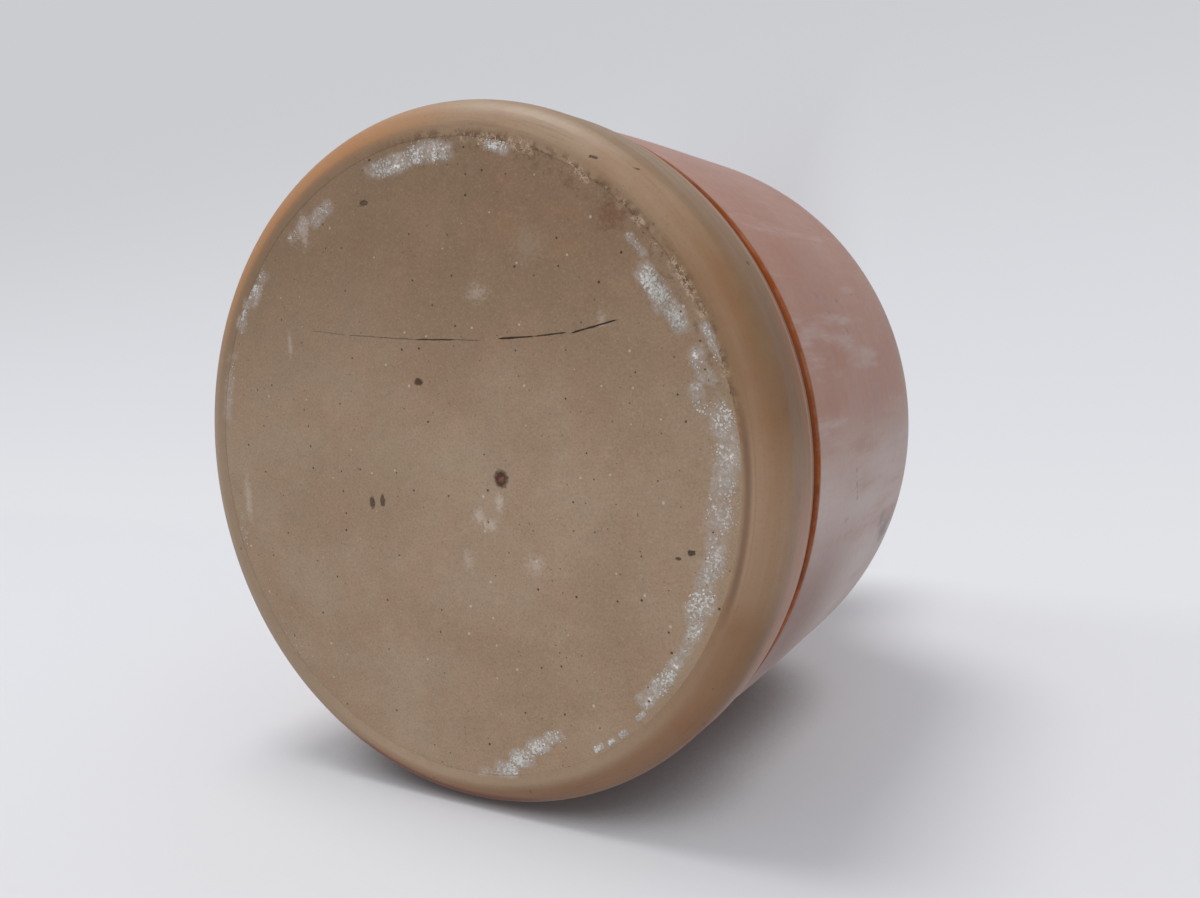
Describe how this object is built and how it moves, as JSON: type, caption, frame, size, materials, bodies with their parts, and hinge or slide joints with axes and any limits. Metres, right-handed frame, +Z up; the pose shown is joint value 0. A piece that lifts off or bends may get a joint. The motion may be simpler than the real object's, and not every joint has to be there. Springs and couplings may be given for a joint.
{
  "type": "goblet drum",
  "caption": "Clay goblet drum with a rounded bowl, waisted throat and flared foot, its skin head lapped over the rim under a smooth hide band and a corded groove.",
  "frame": {"origin": "centre of the foot's flat standing rim, which is the bottom centre of the drum", "axes": "+Z up along the drum's axis towards the playing head; -X is the side of the cord's knot; the light crust patches lie mostly towards +X"},
  "size_m": [0.2, 0.2, 0.32],
  "materials": {
    "bowl_clay": "burnished unglazed terracotta, satin",
    "stem_clay": "burnished unglazed terracotta, satin",
    "luting_clay": "wiped clay slip, matt",
    "hide_glue": "dried animal glue, dull amber",
    "lapped_skin": "dry scraped hide, matt",
    "head_skin": "dry scraped hide, matt and mottled",
    "hide_band": "smooth amber hide, satin",
    "gut_cord": "dark amber gut, glossy",
    "gut_knot": "dark amber gut, glossy",
    "chalk_crust": "powdery grey-white crust"
  },
  "bodies": {
    "shell": {"clay_bowl": "bowl_clay", "clay_stem": "stem_clay", "luting_coil": "luting_clay", "glue_bed": "hide_glue", "skin_lap": "lapped_skin", "rim_band": "hide_band", "binding_cord": "gut_cord", "cord_knot": "gut_knot"},
    "head": {"drum_skin": "head_skin", "dried_crust": "chalk_crust"}
  },
  "joints": [
    {"name": "skin_flex", "type": "slide", "parent": "shell", "child": "head", "axis": [0, 0, -1], "range_m": [0, 0.0015], "stiffness_N_per_m": 2000}
  ]
}
